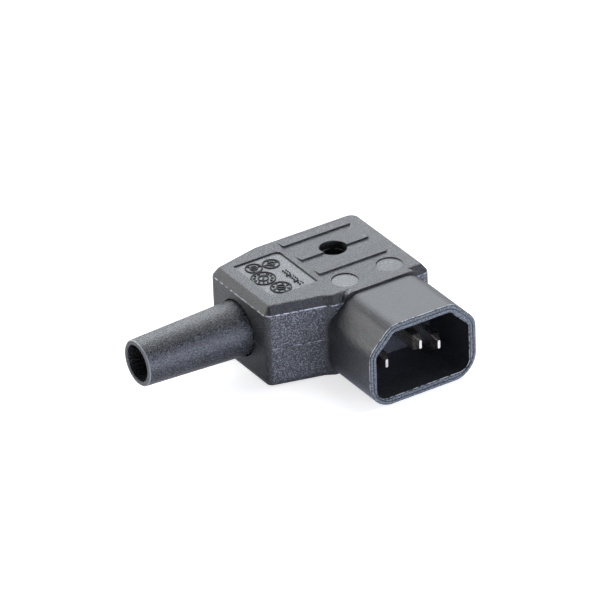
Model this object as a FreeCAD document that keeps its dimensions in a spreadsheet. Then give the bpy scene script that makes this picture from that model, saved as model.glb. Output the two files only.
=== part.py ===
import FreeCAD, Part

# Right-angle rewireable inlet plug: a two-shell moulded housing, a pin carrier with its shroud,
# three blades with clamp terminals, a cord clamp, a tapered cable sleeve and one housing screw.
#
# Frame: the origin is on the shroud's rim plane, on its centreline and on the parting plane, which
# the cable shares. +X points away from the cable, -Y is the way the plug goes into its socket and
# +Z is up through the upper shell. Every piece is drawn with Y = 0 on the housing's front wall, and
# its Placement then moves it back by the shroud's length.

import math
import os
import re

import Sketcher
from FreeCAD import Vector

# Every size is in millimetres. An expression elsewhere refers to these by name.
SIZES = {
    # Housing outline in plan, measured from the shroud's centreline and the front wall. The right
    # wall and the jog on the left stand off the terminal block between them.
    "housing_left": 27.6,
    "housing_depth": 31.0,
    "side_room": 0.65,
    "jog_room": 1.6,
    "jog_run": 2.1,
    "jog_depth": 1.25,
    "front_left_set": 4.7,
    "back_left_set": 2.9,
    "back_bend": 14.8,
    "upper_height": 10.5,
    "wall": 2.0,
    "corner_radius": 1.85,
    "back_right_radius": 3.4,
    "jog_radius": 2.0,
    "cavity_radius": 1.0,
    "chamfer_width": 1.5,
    "chamfer_height": 2.0,
    "foot_set": 0.5,
    "foot_rise": 1.2,
    "edge_bevel": 0.2,
    "seam_bevel": 0.12,
    # Clearances: between mouldings, round screws, round the soft sleeve and to the jog's inside.
    "fit_gap": 0.1,
    "screw_gap": 0.05,
    "clear_hole_gap": 0.2,
    "sleeve_gap": 0.3,
    "jog_clearance": 0.9,
    # Lands that carry the shroud's outline across the housing's front chamfer.
    "land_margin": 0.35,
    "land_round": 3.0,
    # Grip ribs, marking recess and thumb dimples on the upper shell.
    "rib_left": 9.45,
    "rib_length": 18.0,
    "rib_first": 10.5,
    "rib_pitch": 7.55,
    "rib_height": 0.38,
    "rib_run": 2.8,
    "label_left": 23.1,
    "label_right": 11.2,
    "label_front": 8.8,
    "label_back": 25.1,
    "label_depth": 0.35,
    "label_front_round": 2.2,
    "label_back_round": 1.3,
    "dimple_offset": 6.0,
    "dimple_y": 5.5,
    "dimple_radius": 3.0,
    "dimple_depth": 0.25,
    "soft_edge": 0.12,
    # Shroud and its recess: the outline of a ten ampere inlet plug. The recess is centred on the
    # blades, a little under the parting plane, and the walls round it give the shroud's outside.
    "blade_room": 5.4,
    "recess_height": 16.4,
    "recess_drop": 0.2,
    "recess_corner": 4.9,
    "recess_bend": 1.0,
    "recess_foot": 2.7,
    "recess_depth": 16.4,
    "shroud_length": 16.8,
    "shroud_side": 1.8,
    "shroud_roof": 2.0,
    "shroud_floor": 1.8,
    "shroud_corner": 5.8,
    "shroud_bend": 5.0,
    "shroud_foot": 5.9,
    "rim_bevel": 0.2,
    "rim_chamfer": 0.25,
    "groove_set": 0.8,
    "groove_width": 0.2,
    "groove_depth": 0.15,
    # Carrier behind the shroud.
    "flange_thickness": 1.8,
    "flange_lip": 1.1,
    "chamber_wall": 1.0,
    "block_half": 6.0,
    "keeper_rib": 1.2,
    "keeper_half": 9.5,
    "retainer_thickness": 1.4,
    "wire_hole_radius": 1.7,
    # Blades: line and neutral share a height, and the earth stands higher and further out.
    "pin_pitch": 7.0,
    "pin_offset": 2.0,
    "pin_height": 4.0,
    "pin_thickness": 2.0,
    "pin_edge": 0.2,
    "pin_lead": 1.7,
    "lead_height": 2.1,
    "lead_thickness": 0.65,
    "live_tip_set": 4.3,
    "earth_tip_set": 1.1,
    # Clamp terminal behind each blade.
    "terminal_seat": 5.0,
    "terminal_width": 5.4,
    "terminal_length": 7.0,
    "terminal_below": 2.9,
    "terminal_above": 3.7,
    "terminal_front": 1.4,
    "passage_width": 3.4,
    "passage_floor": 1.2,
    "passage_height": 3.4,
    "plate_length": 4.8,
    "plate_thickness": 0.6,
    "clamp_screw_radius": 1.25,
    "clamp_screw_reach": 3.5,
    "clamp_screw_lift": 0.5,
    "clamp_head_radius": 2.1,
    "clamp_head_height": 1.5,
    "driver_slot": 0.6,
    "driver_slot_depth": 0.7,
    # Cable line, sleeve and the cord clamp.
    "cable_y": 17.0,
    "sleeve_end": 54.2,
    "sleeve_base_radius": 6.55,
    "sleeve_end_radius": 5.5,
    "sleeve_bore_radius": 4.4,
    "sleeve_edge": 0.3,
    "sleeve_flange_room": 0.4,
    "sleeve_flange": 1.6,
    "trap_rib": 1.2,
    "trap_radius": 5.2,
    "trap_margin": 0.8,
    "cord_radius": 3.9,
    "clamp_x": 18.0,
    "clamp_width": 5.0,
    "clamp_post_offset": 7.3,
    "clamp_post_radius": 2.3,
    "clamp_post_set": 1.0,
    "clamp_foot": 2.4,
    "clamp_arch": 1.3,
    "saddle_rib": 1.2,
    "saddle_set": 1.5,
    "cord_screw_radius": 1.2,
    "cord_screw_length": 6.5,
    "cord_screw_hole": 7.0,
    "cord_head_radius": 2.2,
    "cord_head_height": 1.5,
    # Housing screw, its well in the upper shell and its nut in the lower one.
    "screw_left": 0.4,
    "screw_y": 19.0,
    "post_radius": 4.3,
    "well_radius": 3.15,
    "well_depth": 8.0,
    "housing_screw_radius": 1.5,
    "housing_head_radius": 2.75,
    "housing_head_height": 2.0,
    "cross_length": 3.2,
    "cross_width": 0.6,
    "cross_depth": 1.1,
    "nut_width": 5.5,
    "nut_thickness": 2.4,
    "nut_pocket": 3.0,
}

TINY = 1e-9
doc = FreeCAD.newDocument("inlet_plug")


def make_sheet():
    """Puts every size into a spreadsheet cell that carries the size's name as its alias."""
    sheet = doc.addObject("Spreadsheet::Sheet", "sizes")
    for row, (name, value) in enumerate(SIZES.items(), start=1):
        sheet.set(f"A{row}", name)
        sheet.set(f"B{row}", str(value))
        sheet.setAlias(f"B{row}", name)
    doc.recompute()
    return sheet


def bound(text):
    """Spells an expression out: each size's name becomes a reference to its spreadsheet cell."""
    return re.sub(r"[a-z_]+", lambda m: f"sizes.{m.group()}" if m.group() in SIZES else m.group(), text)


sheet = make_sheet()


def value_of(text):
    """The number that an expression comes to now."""
    return float(sheet.evalExpression(bound(text)))


# --- Sketches -----------------------------------------------------------------------------------

def origin_feature(body, role):
    """One of the body's own origin planes or axes."""
    return next(part for part in body.Origin.OriginFeatures if part.Role == role)


def new_body(label, x="0", y="0", z="0"):
    """An empty body with Y = 0 on the front wall, moved by x, y, z from there."""
    body = doc.addObject("PartDesign::Body", label)
    body.Label = label
    body.setExpression("Placement.Base.x", bound(x))
    body.setExpression("Placement.Base.y", bound(f"shroud_length + {y}"))
    body.setExpression("Placement.Base.z", bound(z))
    return body


def new_sketch(body, name, role, offset="0"):
    """A sketch on one of the body's origin planes, offset along that plane's normal.

    XY has its normal along +Z, XZ along -Y and YZ along +X.
    """
    sketch = body.newObject("Sketcher::SketchObject", f"{body.Label}_{name}")
    sketch.AttachmentSupport = [(origin_feature(body, role), "")]
    sketch.MapMode = "FlatFace"
    sketch.setExpression("AttachmentOffset.Base.z", bound(offset))
    return sketch


def place_point(sketch, geometry, position, x, y):
    """Holds a point of the sketch at x, y from its origin, by two constraints bound to sizes."""
    for kind, axis, text in (("DistanceX", -2, x), ("DistanceY", -1, y)):
        value = value_of(text)
        if abs(value) < TINY:
            sketch.addConstraint(Sketcher.Constraint("PointOnObject", geometry, position, axis))
            continue
        if value > 0:
            constraint = Sketcher.Constraint(kind, -1, 1, geometry, position, value)
            expression = text
        else:
            constraint = Sketcher.Constraint(kind, geometry, position, -1, 1, -value)
            expression = f"-({text})"
        index = sketch.addConstraint(constraint)
        sketch.setExpression(f"Constraints[{index}]", bound(expression))


def corner_arc(before, corner, after, radius):
    """The rounding of one corner: its two ends and its centre."""
    back = (before - corner).normalize()
    ahead = (after - corner).normalize()
    half_angle = back.getAngle(ahead) / 2
    reach = radius / math.tan(half_angle)
    middle = (back + ahead).normalize()
    centre = corner + middle * (radius / math.sin(half_angle))
    return corner + back * reach, corner + ahead * reach, centre


def draw_outline(sketch, corners):
    """A closed outline through corners given as (x, y) or, where rounded, (x, y, radius)."""
    points = [Vector(value_of(corner[0]), value_of(corner[1]), 0) for corner in corners]
    count = len(corners)
    arrivals = list(points)
    departures = list(points)
    centres = [None] * count
    for i, corner in enumerate(corners):
        if len(corner) == 3:
            ends = corner_arc(points[i - 1], points[i], points[(i + 1) % count], value_of(corner[2]))
            arrivals[i], departures[i], centres[i] = ends
    lines = []
    for i in range(count):
        segment = Part.LineSegment(departures[i], arrivals[(i + 1) % count])
        lines.append(sketch.addGeometry(segment))
    for i, corner in enumerate(corners):
        before = lines[i - 1]
        after = lines[i]
        if centres[i] is None:
            sketch.addConstraint(Sketcher.Constraint("Coincident", before, 2, after, 1))
            place_point(sketch, after, 1, corner[0], corner[1])
            continue
        radius = value_of(corner[2])
        first = arrivals[i] - centres[i]
        last = departures[i] - centres[i]
        left_turn = first.cross(last).z > 0
        start, end = (first, last) if left_turn else (last, first)
        start_angle = math.atan2(start.y, start.x)
        end_angle = math.atan2(end.y, end.x)
        if end_angle < start_angle:
            end_angle += 2 * math.pi
        circle = Part.Circle(centres[i], Vector(0, 0, 1), radius)
        arc = sketch.addGeometry(Part.ArcOfCircle(circle, start_angle, end_angle))
        arrive_end, depart_end = (1, 2) if left_turn else (2, 1)
        sketch.addConstraint(Sketcher.Constraint("Tangent", before, 2, arc, arrive_end))
        sketch.addConstraint(Sketcher.Constraint("Tangent", arc, depart_end, after, 1))
        apex = sketch.addGeometry(Part.Point(points[i]), True)
        sketch.addConstraint(Sketcher.Constraint("PointOnObject", apex, 1, before))
        sketch.addConstraint(Sketcher.Constraint("PointOnObject", apex, 1, after))
        place_point(sketch, apex, 1, corner[0], corner[1])
        index = sketch.addConstraint(Sketcher.Constraint("Radius", arc, radius))
        sketch.setExpression(f"Constraints[{index}]", bound(corner[2]))


def draw_box(sketch, x_low, y_low, x_high, y_high):
    """A rectangle between two corners."""
    draw_outline(sketch, [(x_low, y_low), (x_high, y_low), (x_high, y_high), (x_low, y_high)])


def draw_circle(sketch, x, y, radius):
    """A full circle with its centre and radius bound to sizes."""
    centre = Vector(value_of(x), value_of(y), 0)
    circle = sketch.addGeometry(Part.Circle(centre, Vector(0, 0, 1), value_of(radius)))
    place_point(sketch, circle, 3, x, y)
    index = sketch.addConstraint(Sketcher.Constraint("Radius", circle, value_of(radius)))
    sketch.setExpression(f"Constraints[{index}]", bound(radius))


def draw_hexagon(sketch, x, y, width):
    """A hexagon about x, y, given its width across flats, with two flats along X."""
    half = f"({width}) / 2"
    short = f"({width}) / (2 * sqrt(3))"
    long = f"({width}) / sqrt(3)"
    draw_outline(sketch, [
        (f"{x} + {long}", y),
        (f"{x} + {short}", f"{y} + {half}"),
        (f"{x} - {short}", f"{y} + {half}"),
        (f"{x} - {long}", y),
        (f"{x} - {short}", f"{y} - {half}"),
        (f"{x} + {short}", f"{y} - {half}"),
    ])


# --- Features -----------------------------------------------------------------------------------

def extrude(kind, body, sketch, length, backward=False):
    """A Pad or a Pocket of a sketch; backward turns it round."""
    feature = body.newObject(f"PartDesign::{kind}", f"{sketch.Name}_{kind.lower()}")
    feature.Profile = sketch
    feature.Reversed = backward
    feature.setExpression("Length", bound(length))
    doc.recompute()
    return feature


def pad(body, sketch, length, backward=False):
    return extrude("Pad", body, sketch, length, backward)


def tapered_pad(body, profile, width, height, backward=False):
    """A Pad of a sketch or a flat face that draws in by a width on every side over its height."""
    feature = body.newObject("PartDesign::Pad", f"{body.Label}_taper")
    feature.Profile = profile
    feature.Reversed = backward
    feature.setExpression("Length", bound(height))
    feature.setExpression("TaperAngle", bound(f"-atan({width} / {height})"))
    doc.recompute()
    return feature


def pocket(body, sketch, length, backward=False):
    """A Pocket that must take something away: one that points out of the solid is refused."""
    before = body.Shape.Volume
    feature = extrude("Pocket", body, sketch, length, backward)
    if body.Shape.Volume > before - TINY:
        raise RuntimeError(f"{feature.Name} cuts nothing")
    return feature


def revolve(body, sketch, axis):
    """A full turn of a sketch about one of the body's origin axes."""
    feature = body.newObject("PartDesign::Revolution", f"{sketch.Name}_turn")
    feature.Profile = sketch
    feature.ReferenceAxis = (origin_feature(body, axis), [""])
    doc.recompute()
    return feature


def names_where(kind, feature, test):
    """Names of the feature's edges or faces that pass a test. kind is "Edge" or "Face"."""
    pieces = getattr(feature.Shape, f"{kind}s")
    return [f"{kind}{number}" for number, piece in enumerate(pieces, start=1) if test(piece)]


def dress(kind, body, feature, test, **sizes):
    """A Fillet or Chamfer on the edges that pass a test, with its sizes bound by name."""
    names = names_where("Edge", feature, test)
    if not names:
        raise RuntimeError(f"no edge of {feature.Name} to {kind.lower()}")
    dressing = body.newObject(f"PartDesign::{kind}", f"{feature.Name}_{kind.lower()}")
    dressing.Base = (feature, names)
    for name, text in sizes.items():
        dressing.setExpression(name, bound(text))
    doc.recompute()
    return dressing


def lies_at(axis, text):
    """A test for edges or faces that lie in the plane where one coordinate has a given value."""
    place = value_of(text)
    index = "xyz".index(axis)

    def test(piece):
        box = piece.BoundBox
        low = (box.XMin, box.YMin, box.ZMin)[index]
        high = (box.XMax, box.YMax, box.ZMax)[index]
        return abs(low - place) < 1e-4 and abs(high - place) < 1e-4

    return test


# --- Places that pieces share -------------------------------------------------------------------

# Each blade's X and Z, and how far its tip stays behind the rim.
PIN_PLACES = {
    "line": ("-pin_pitch", "-(pin_offset + recess_drop)", "live_tip_set"),
    "neutral": ("pin_pitch", "-(pin_offset + recess_drop)", "live_tip_set"),
    "earth": ("0", "(pin_offset - recess_drop)", "earth_tip_set"),
}
BLOCK_BACK = "terminal_seat + terminal_length + fit_gap"
BLOCK_SIDE = "(pin_pitch + terminal_width / 2 + fit_gap + chamber_wall)"
TERMINAL_SCREW_Y = "(terminal_front + (terminal_length - terminal_front) / 2)"
SCREW_SEAT = "(terminal_above + clamp_screw_lift)"

RECESS_WIDTH = "((pin_pitch + blade_room) * 2)"
RECESS_TOP = "(recess_height / 2 - recess_drop)"
RECESS_FOOT = "(recess_height / 2 + recess_drop)"
SHROUD_WIDTH = f"({RECESS_WIDTH} + shroud_side * 2)"
SHROUD_TOP = f"({RECESS_TOP} + shroud_roof)"
SHROUD_FOOT = f"({RECESS_FOOT} + shroud_floor)"

# The lower shell is as deep as the shroud, so that the loose plug lies flat.
SHELL_HEIGHTS = {"": "upper_height", "-": SHROUD_FOOT}
# The outer edge of each half draws in over this width and height. Below, it draws in once more with
# the two the other way about, which makes a rounded foot.
EDGES = {"": ("chamfer_width", "chamfer_height"), "-": ("foot_set", "foot_rise")}
EDGE_HEIGHTS = {"": "chamfer_height", "-": "(foot_set + foot_rise)"}
FLANGE_REACHES = {side: f"({height} - wall - fit_gap)" for side, height in SHELL_HEIGHTS.items()}
HOUSING_RIGHT = f"({BLOCK_SIDE} + side_room + wall)"
JOG_INNER = f"({BLOCK_SIDE} + jog_room)"
JOG_OUTER = f"({JOG_INNER} + jog_run)"
FRONT_SLOPE = f"((front_left_set - jog_depth) / (housing_left - {JOG_OUTER}))"
BACK_SLOPE = "(back_left_set / (housing_left - back_bend))"
FRONT_WALL = f"(wall * sqrt(1 + {FRONT_SLOPE} * {FRONT_SLOPE}))"
BACK_WALL = f"(wall * sqrt(1 + {BACK_SLOPE} * {BACK_SLOPE}))"
HOUSING_OUTLINE = [
    (f"-{JOG_INNER}", "0", "jog_radius"),
    (HOUSING_RIGHT, "0", "corner_radius"),
    (HOUSING_RIGHT, "housing_depth", "back_right_radius"),
    ("-back_bend", "housing_depth", "corner_radius"),
    ("-housing_left", "housing_depth - back_left_set", "corner_radius"),
    ("-housing_left", "front_left_set", "corner_radius"),
    (f"-{JOG_OUTER}", "jog_depth", "jog_radius"),
]
CAVITY_OUTLINE = [
    (f"-{JOG_INNER}", "wall"),
    (f"{HOUSING_RIGHT} - wall", "wall"),
    (f"{HOUSING_RIGHT} - wall", "housing_depth - wall", "cavity_radius"),
    (f"-(back_bend - ({BACK_WALL} - wall) / {BACK_SLOPE})", "housing_depth - wall"),
    (
        "-(housing_left - wall)",
        f"housing_depth - {BACK_SLOPE} * (housing_left - wall - back_bend) - {BACK_WALL}",
        "cavity_radius",
    ),
    (
        "-(housing_left - wall)",
        f"jog_depth + {FRONT_SLOPE} * (housing_left - wall - {JOG_OUTER}) + {FRONT_WALL}",
        "cavity_radius",
    ),
    (f"-{JOG_OUTER}", f"jog_depth + {FRONT_WALL}"),
]
FLANGE_FRONT = "wall + fit_gap"
FLANGE_BACK = f"{FLANGE_FRONT} + flange_thickness"
FLANGE_LEFT = f"-({JOG_INNER} - jog_clearance)"
FLANGE_RIGHT = f"({HOUSING_RIGHT} - wall - fit_gap)"
SLEEVE_FLANGE_FRONT = "-(housing_left - wall - fit_gap)"
SLEEVE_FLANGE_BACK = f"{SLEEVE_FLANGE_FRONT} + sleeve_flange"
SLEEVE_FLANGE_RADIUS = f"({SHROUD_FOOT} - wall - sleeve_flange_room)"
WELL_SEAT = "(upper_height - well_depth)"
NUT_SEAT = f"({SHROUD_FOOT} - nut_pocket)"


# --- Housing shells -----------------------------------------------------------------------------

def shell_half(label, side):
    """One half of the housing: a block with its outer edge drawn in, hollowed from the parting plane.

    side is "" for the upper half and "-" for the lower one, and goes before every height.
    """
    height = SHELL_HEIGHTS[side]
    lower = side == "-"
    wall_end = f"({height} - {EDGE_HEIGHTS[side]})"
    body = new_body(label)
    outline = new_sketch(body, "outline", "XY_Plane")
    draw_outline(outline, HOUSING_OUTLINE)
    pad(body, outline, wall_end, lower)
    shoulder = new_sketch(body, "shoulder", "XY_Plane", f"{side}{wall_end}")
    draw_outline(shoulder, HOUSING_OUTLINE)
    block = tapered_pad(body, shoulder, *EDGES[side], lower)
    if lower:
        end = names_where("Face", block, lies_at("z", f"-({height} - foot_set)"))
        block = tapered_pad(body, (block, end), "foot_rise", "foot_set")
    else:
        block = dress("Chamfer", body, block, lies_at("z", height), Size="edge_bevel")
        block = dress("Chamfer", body, block, lies_at("z", wall_end), Size="edge_bevel")
    dress("Chamfer", body, block, lies_at("z", "0"), Size="seam_bevel")
    cavity = new_sketch(body, "cavity", "XY_Plane")
    draw_outline(cavity, CAVITY_OUTLINE)
    pocket(body, cavity, f"{height} - wall", not lower)
    return body


def carrier_seat(body, side):
    """The land round the shroud's root, the front opening and the rib that keeps the flange."""
    height = SHELL_HEIGHTS[side]
    reach = f"({FLANGE_REACHES[side]} - flange_lip + fit_gap)"
    land_top = f"({SHROUD_WIDTH} / 2 - shroud_corner + land_margin)"
    land_foot = f"({land_top} + {EDGE_HEIGHTS[side]})"
    land = new_sketch(body, "land", "XZ_Plane")
    draw_outline(land, [
        (f"-{land_foot}", f"{side}({height} - {EDGE_HEIGHTS[side]})"),
        (land_foot, f"{side}({height} - {EDGE_HEIGHTS[side]})"),
        (land_top, f"{side}{height}", "land_round"),
        (f"-{land_top}", f"{side}{height}", "land_round"),
    ])
    pad(body, land, "wall", True)
    opening = new_sketch(body, "opening", "XZ_Plane")
    draw_outline(opening, [
        (f"{FLANGE_LEFT} + flange_lip - fit_gap", "0"),
        (f"{FLANGE_RIGHT} - flange_lip + fit_gap", "0"),
        (f"{FLANGE_RIGHT} - flange_lip + fit_gap", f"{side}{reach}"),
        (f"{FLANGE_LEFT} + flange_lip - fit_gap", f"{side}{reach}"),
    ])
    pocket(body, opening, FLANGE_FRONT)
    keeper = new_sketch(body, "keeper", "XZ_Plane", f"-({FLANGE_BACK} + fit_gap)")
    draw_box(
        keeper, "-keeper_half", f"{side}(block_half + fit_gap)",
        "keeper_half", f"{side}({height} - wall / 2)",
    )
    pad(body, keeper, "keeper_rib", True)


def sleeve_seat(body, side):
    """The rib that traps the sleeve's flange, and the half-round ways through wall and rib."""
    lower = side == "-"
    half = f"({SLEEVE_FLANGE_RADIUS} + trap_margin)"
    rib = new_sketch(body, "trap", "XY_Plane")
    draw_box(
        rib, f"{SLEEVE_FLANGE_BACK} + fit_gap", f"cable_y - {half}",
        f"{SLEEVE_FLANGE_BACK} + fit_gap + trap_rib", f"cable_y + {half}",
    )
    pad(body, rib, f"{SHELL_HEIGHTS[side]} - wall / 2", lower)
    way = new_sketch(body, "way", "YZ_Plane", "-(housing_left + wall)")
    draw_circle(way, "cable_y", "0", "sleeve_base_radius + sleeve_gap")
    pocket(body, way, "wall * 2 + fit_gap", True)
    throat = new_sketch(body, "throat", "YZ_Plane", f"{SLEEVE_FLANGE_FRONT}")
    draw_circle(throat, "cable_y", "0", "trap_radius")
    pocket(body, throat, "sleeve_flange + trap_rib + fit_gap * 2", True)


def screw_post(body, side):
    """The post round the housing screw, from the roof to the parting plane, bored through."""
    lower = side == "-"
    post = new_sketch(body, "post", "XY_Plane")
    draw_circle(post, "-screw_left", "screw_y", "post_radius")
    pad(body, post, f"{SHELL_HEIGHTS[side]} - wall / 2", lower)
    bore = new_sketch(body, "bore", "XY_Plane")
    draw_circle(bore, "-screw_left", "screw_y", "housing_screw_radius + clear_hole_gap")
    pocket(body, bore, f"{SHELL_HEIGHTS[side]} + rib_height", not lower)


def make_upper_shell():
    """The upper half: grip ribs, a sunk marking field, two dimples and the screw's well."""
    body = shell_half("upper_shell", "")
    carrier_seat(body, "")
    sleeve_seat(body, "")
    rib = new_sketch(body, "rib", "YZ_Plane", "-rib_left")
    draw_outline(rib, [
        ("rib_first", "upper_height - label_depth"),
        ("rib_first + rib_run", "upper_height - label_depth"),
        ("rib_first + rib_run", "upper_height"),
        ("rib_first", "upper_height + rib_height"),
    ])
    wedge = pad(body, rib, "rib_length")
    row = body.newObject("PartDesign::LinearPattern", "grip_ribs")
    row.Originals = [wedge]
    row.Direction = (origin_feature(body, "Y_Axis"), [""])
    row.Occurrences = 3
    row.setExpression("Length", bound("rib_pitch * 2"))
    body.Tip = row
    doc.recompute()
    screw_post(body, "")
    well = new_sketch(body, "well", "XY_Plane", "upper_height + rib_height")
    draw_circle(well, "-screw_left", "screw_y", "well_radius")
    pocket(body, well, "well_depth + rib_height")
    label = new_sketch(body, "label", "XY_Plane", "upper_height")
    draw_outline(label, [
        ("-label_left", "label_front", "label_front_round"),
        ("-label_right", "label_front"),
        ("-label_right", "label_back", "label_back_round"),
        ("-label_left", "label_back"),
    ])
    pocket(body, label, "label_depth")
    dimples = new_sketch(body, "dimples", "XY_Plane", "upper_height")
    for side in ("-", ""):
        draw_circle(dimples, f"{side}dimple_offset", "dimple_y", "dimple_radius")
    sunk = pocket(body, dimples, "dimple_depth")

    def softened(edge):
        box = edge.BoundBox
        in_label = box.XMax < -value_of("label_right") + TINY and box.XMin > -value_of("label_left") - TINY
        in_dimple = box.YMax < value_of("dimple_y + dimple_radius") + TINY and box.YMin > value_of("wall")
        on_well = abs(getattr(edge.Curve, "Radius", 0) - value_of("well_radius")) < TINY
        return lies_at("z", "upper_height")(edge) and (in_label or in_dimple or on_well)

    dress("Chamfer", body, sunk, softened, Size="soft_edge")
    return body


def make_lower_shell():
    """The lower half: the nut's pocket below, and the posts and saddle that hold the cord."""
    floor = f"-({SHROUD_FOOT} - wall / 2)"
    body = shell_half("lower_shell", "-")
    carrier_seat(body, "-")
    sleeve_seat(body, "-")
    screw_post(body, "-")
    nut = new_sketch(body, "nut_pocket", "XY_Plane", f"-{SHROUD_FOOT}")
    draw_hexagon(nut, "-screw_left", "screw_y", "nut_width + screw_gap * 2")
    pocket(body, nut, "nut_pocket", True)
    saddle = new_sketch(body, "saddle", "YZ_Plane", "-(clamp_x + saddle_rib / 2)")
    draw_outline(saddle, [
        ("cable_y - clamp_post_offset", floor),
        ("cable_y + clamp_post_offset", floor),
        ("cable_y + clamp_post_offset", "-(clamp_post_set + saddle_set)"),
        ("cable_y + cord_radius / 2", "-(cord_radius + saddle_set)"),
        ("cable_y - cord_radius / 2", "-(cord_radius + saddle_set)"),
        ("cable_y - clamp_post_offset", "-(clamp_post_set + saddle_set)"),
    ])
    pad(body, saddle, "saddle_rib")
    posts = new_sketch(body, "clamp_posts", "XY_Plane", floor)
    for side in ("-", "+"):
        draw_circle(posts, "-clamp_x", f"cable_y {side} clamp_post_offset", "clamp_post_radius")
    pad(body, posts, f"{SHROUD_FOOT} - wall / 2 - clamp_post_set")
    pilots = new_sketch(body, "pilots", "XY_Plane", "-clamp_post_set")
    for side in ("-", "+"):
        draw_circle(pilots, "-clamp_x", f"cable_y {side} clamp_post_offset", "cord_screw_radius + screw_gap")
    pocket(body, pilots, "cord_screw_hole")
    return body


# --- Pin carrier --------------------------------------------------------------------------------

def inlet_outline(width, foot, top, corner, bend, foot_round, inset="0"):
    """The inlet's outline: two cut-off corners above and two rounded ones below, moved in by inset."""
    half_width = f"({width} / 2 - {inset})"
    low = f"-({foot} - {inset})"
    high = f"({top} - {inset})"
    cut = f"({corner} - {inset} * (2 - sqrt(2)))"
    return [
        (f"-{half_width}", low, f"{foot_round} - {inset}"),
        (half_width, low, f"{foot_round} - {inset}"),
        (half_width, f"{high} - {cut}", f"{bend} - {inset}"),
        (f"{half_width} - {cut}", high, f"{bend} - {inset}"),
        (f"-({half_width} - {cut})", high, f"{bend} - {inset}"),
        (f"-{half_width}", f"{high} - {cut}", f"{bend} - {inset}"),
    ]


SHROUD = (SHROUD_WIDTH, SHROUD_FOOT, SHROUD_TOP, "shroud_corner", "shroud_bend", "shroud_foot")
RECESS = (RECESS_WIDTH, RECESS_FOOT, RECESS_TOP, "recess_corner", "recess_bend", "recess_foot")


def make_pin_carrier():
    """One moulding: the shroud, the floor that holds the blades, the flange and three chambers."""
    body = new_body("pin_carrier")
    shell = new_sketch(body, "shroud", "XZ_Plane")
    draw_outline(shell, inlet_outline(*SHROUD))
    pad(body, shell, "shroud_length")
    neck = new_sketch(body, "neck", "XZ_Plane")
    draw_box(
        neck, f"{FLANGE_LEFT} + flange_lip", f"-({FLANGE_REACHES['-']} - flange_lip)",
        f"{FLANGE_RIGHT} - flange_lip", f"{FLANGE_REACHES['']} - flange_lip",
    )
    pad(body, neck, FLANGE_FRONT, True)
    flange = new_sketch(body, "flange", "XZ_Plane", f"-({FLANGE_FRONT})")
    draw_box(flange, FLANGE_LEFT, f"-{FLANGE_REACHES['-']}", FLANGE_RIGHT, FLANGE_REACHES[""])
    pad(body, flange, "flange_thickness", True)
    block = new_sketch(body, "block", "XZ_Plane", f"-({FLANGE_BACK})")
    draw_box(block, f"-{BLOCK_SIDE}", "-block_half", BLOCK_SIDE, "block_half")
    pad(body, block, f"{BLOCK_BACK} - ({FLANGE_BACK})", True)
    recess = new_sketch(body, "recess", "XZ_Plane", "shroud_length")
    draw_outline(recess, inlet_outline(*RECESS))
    pocket(body, recess, "recess_depth")
    chambers = new_sketch(body, "chambers", "XZ_Plane", f"-({BLOCK_BACK})")
    for x, z, _ in PIN_PLACES.values():
        draw_box(
            chambers, f"{x} - terminal_width / 2 - fit_gap", f"{z} - terminal_below - fit_gap",
            f"{x} + terminal_width / 2 + fit_gap", "block_half + chamber_wall",
        )
    pocket(body, chambers, "terminal_length + fit_gap", True)
    slots = new_sketch(body, "slots", "XZ_Plane", "shroud_length - recess_depth")
    for x, z, _ in PIN_PLACES.values():
        draw_box(
            slots, f"{x} - pin_thickness / 2 - screw_gap", f"{z} - pin_height / 2 - screw_gap",
            f"{x} + pin_thickness / 2 + screw_gap", f"{z} + pin_height / 2 + screw_gap",
        )
    through = pocket(body, slots, "shroud_length - recess_depth + terminal_seat")

    def on_rim(edge, outside):
        half = value_of(RECESS_WIDTH) / 2 + TINY
        box = edge.BoundBox
        across = max(abs(box.XMin), abs(box.XMax)) < half
        upright = box.ZMin > -value_of(RECESS_FOOT) - TINY and box.ZMax < value_of(RECESS_TOP) + TINY
        return lies_at("y", "-shroud_length")(edge) and (across and upright) != outside

    outer = dress("Chamfer", body, through, lambda edge: on_rim(edge, True), Size="rim_bevel")
    dress("Chamfer", body, outer, lambda edge: on_rim(edge, False), Size="rim_chamfer")
    groove = new_sketch(body, "groove", "XZ_Plane", "shroud_length")
    draw_outline(groove, inlet_outline(*SHROUD, "groove_set"))
    draw_outline(groove, inlet_outline(*SHROUD, "(groove_set + groove_width)"))
    pocket(body, groove, "groove_depth")
    return body


def make_retainer():
    """The plate that closes the chambers from behind, with a way for each wire."""
    body = new_body("terminal_retainer", y=BLOCK_BACK)
    plate = new_sketch(body, "plate", "XZ_Plane")
    draw_box(plate, f"-{BLOCK_SIDE}", "-block_half", BLOCK_SIDE, "block_half")
    pad(body, plate, "retainer_thickness", True)
    holes = new_sketch(body, "holes", "XZ_Plane")
    for x, z, _ in PIN_PLACES.values():
        passage = f"{z} - terminal_below + passage_floor + passage_height / 2"
        draw_circle(holes, x, passage, "wire_hole_radius")
    pocket(body, holes, "retainer_thickness")
    return body


# --- Blades and terminals -----------------------------------------------------------------------

def draw_blade(sketch, thickness, height):
    """A blade's section about the origin, with its four corners bevelled."""
    x = f"({thickness} / 2)"
    y = f"({height} / 2)"
    draw_outline(sketch, [
        (f"-({x} - pin_edge)", f"-{y}"),
        (f"{x} - pin_edge", f"-{y}"),
        (x, f"-({y} - pin_edge)"),
        (x, f"{y} - pin_edge"),
        (f"{x} - pin_edge", y),
        (f"-({x} - pin_edge)", y),
        (f"-{x}", f"{y} - pin_edge"),
        (f"-{x}", f"-({y} - pin_edge)"),
    ])


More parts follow.
